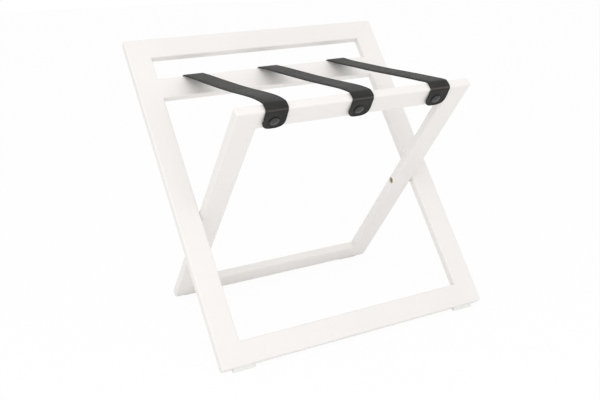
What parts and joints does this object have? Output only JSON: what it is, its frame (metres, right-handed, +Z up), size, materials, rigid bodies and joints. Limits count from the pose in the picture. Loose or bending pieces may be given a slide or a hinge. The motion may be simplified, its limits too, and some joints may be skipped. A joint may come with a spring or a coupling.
{
  "type": "folding luggage bench",
  "caption": "Folding X-frame luggage bench: a tall frame with a wall guard rail and a hand hold, a low seat frame pivoted between its stiles, and leather straps across.",
  "frame": {"origin": "on the floor, at the centre of the plan outline of the open bench", "axes": "+X across the bench along the pivot axis, +Y from the seat rail's side to the wall guard, +Z up"},
  "size_m": [0.6, 0.4612, 0.5673],
  "materials": {
    "painted_timber": "white satin paint on planed timber, edges eased",
    "tenon_beech": "bare beech, inside the joints",
    "strap_leather": "black, fine grain, stitched along the edges",
    "stud_plastic": "dark satin moulded stud head",
    "pivot_brass": "dull turned brass",
    "spacer_nylon": "white nylon washer",
    "glide_plastic": "white moulded glide"
  },
  "bodies": {
    "outer_frame": {"outer_left_stile": "painted_timber", "outer_right_stile": "painted_timber", "outer_top_rail": "painted_timber", "strap_rail": "painted_timber", "outer_foot_rail": "painted_timber", "outer_frame_tenons": "tenon_beech", "pivot_bolts": "pivot_brass", "pivot_inserts": "pivot_brass", "pivot_washers": "spacer_nylon", "outer_left_glide": "glide_plastic", "outer_right_glide": "glide_plastic", "left_strap": "strap_leather", "centre_strap": "strap_leather", "right_strap": "strap_leather", "rear_strap_studs": "stud_plastic"},
    "inner_frame": {"inner_left_leg": "painted_timber", "inner_right_leg": "painted_timber", "seat_rail": "painted_timber", "inner_foot_rail": "painted_timber", "inner_frame_tenons": "tenon_beech", "inner_left_glide": "glide_plastic", "inner_right_glide": "glide_plastic", "front_strap_studs": "stud_plastic"}
  },
  "joints": [
    {"name": "fold", "type": "hinge", "parent": "outer_frame", "child": "inner_frame", "pos_m": [0, -0.02428, 0.24657], "axis": [-1, 0, 0], "range_deg": [0, 72], "deforming": ["left_strap", "centre_strap", "right_strap"]}
  ]
}
